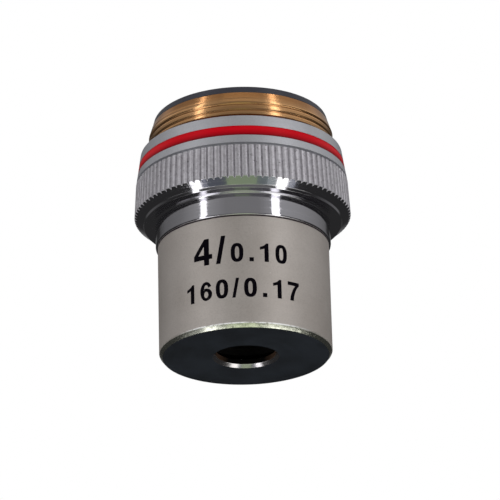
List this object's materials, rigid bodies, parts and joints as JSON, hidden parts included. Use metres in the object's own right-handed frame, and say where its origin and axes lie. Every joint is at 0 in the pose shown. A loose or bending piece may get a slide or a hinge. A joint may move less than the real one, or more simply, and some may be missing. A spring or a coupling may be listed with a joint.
{
  "type": "microscope objective",
  "caption": "Low power microscope objective with a brass mounting thread, knurled grip ring, red enamel band, plated barrel and black front with a small window.",
  "frame": {"origin": "centre of the flat front face, which looks at the specimen", "axes": "+Z along the optical axis, from the front face to the mounting thread"},
  "size_m": [0.0236, 0.0236, 0.0275],
  "materials": {
    "plated_brass": "satin",
    "barrel_plating": "satin",
    "red_enamel": "gloss",
    "black_anodised": "satin",
    "blackened_brass": "matte",
    "bare_brass": "satin",
    "optical_glass": "gloss"
  },
  "bodies": {
    "root": {"mount_body": "plated_brass", "barrel_sleeve": "barrel_plating", "colour_band": "red_enamel", "rear_ring": "black_anodised", "lock_ring": "black_anodised", "lens_tube": "blackened_brass", "front_cell": "blackened_brass", "rear_cell": "blackened_brass", "front_retaining_ring": "blackened_brass", "rear_retaining_ring": "blackened_brass", "stack_ring": "blackened_brass", "front_spacer_tube": "black_anodised", "rear_spacer_tube": "black_anodised", "aperture_stop": "blackened_brass", "parfocal_shim_1": "bare_brass", "parfocal_shim_2": "bare_brass", "front_flint_lens": "optical_glass", "front_crown_lens": "optical_glass", "rear_crown_lens": "optical_glass", "rear_flint_lens": "optical_glass"}
  },
  "joints": []
}
